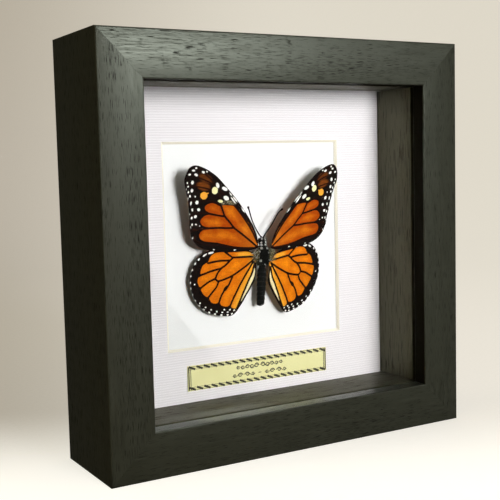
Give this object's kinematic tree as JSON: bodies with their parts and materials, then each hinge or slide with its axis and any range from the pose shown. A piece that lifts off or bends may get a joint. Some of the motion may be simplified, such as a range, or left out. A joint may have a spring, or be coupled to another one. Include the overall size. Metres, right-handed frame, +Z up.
{
  "type": "framed butterfly specimen",
  "caption": "Square black wooden box frame that shows a spread orange and black butterfly in a white bevelled mat, with a small caption card under it.",
  "frame": {"origin": "centre of the underside of the frame, on the surface it stands on", "axes": "+Z up, +Y towards the back of the frame, so the glazed front faces -Y; +X to the right as seen from the front"},
  "size_m": [0.17, 0.0456, 0.17],
  "materials": {
    "frame_wood": "black stain, open grain, satin",
    "glass": "clear, polished",
    "spacer_wood": "black stain, satin",
    "mat_paper": "white, fine laid lines, cream core at the bevel",
    "backing_card": "smooth white, matt",
    "caption_card": "pale yellow card with a rope border, matt",
    "board": "brown pressed board, matt",
    "fittings": "zinc plate, dull",
    "wing_scales": "orange scales with black veins and white-spotted black borders",
    "body_hair": "short black hair over a dry shell, white spots",
    "foam": "white foam, matt"
  },
  "bodies": {
    "root": {"antenna_left": "body_hair", "antenna_right": "body_hair", "back_board": "board", "backing_card": "backing_card", "body": "body_hair", "caption_card": "caption_card", "foam_block": "foam", "forewing_left": "wing_scales", "forewing_right": "wing_scales", "glass_pane": "glass", "hanger": "fittings", "hindwing_left": "wing_scales", "hindwing_right": "wing_scales", "mat_board": "mat_paper", "rail_bottom": "frame_wood", "rail_left": "frame_wood", "rail_right": "frame_wood", "rail_top": "frame_wood", "rivet_left": "fittings", "rivet_right": "fittings", "spacer_bottom": "spacer_wood", "spacer_left": "spacer_wood", "spacer_right": "spacer_wood", "spacer_top": "spacer_wood", "tab_bottom_a": "fittings", "tab_bottom_b": "fittings", "tab_left_a": "fittings", "tab_left_b": "fittings", "tab_right_a": "fittings", "tab_right_b": "fittings", "tab_top_a": "fittings", "tab_top_b": "fittings"}
  },
  "joints": []
}
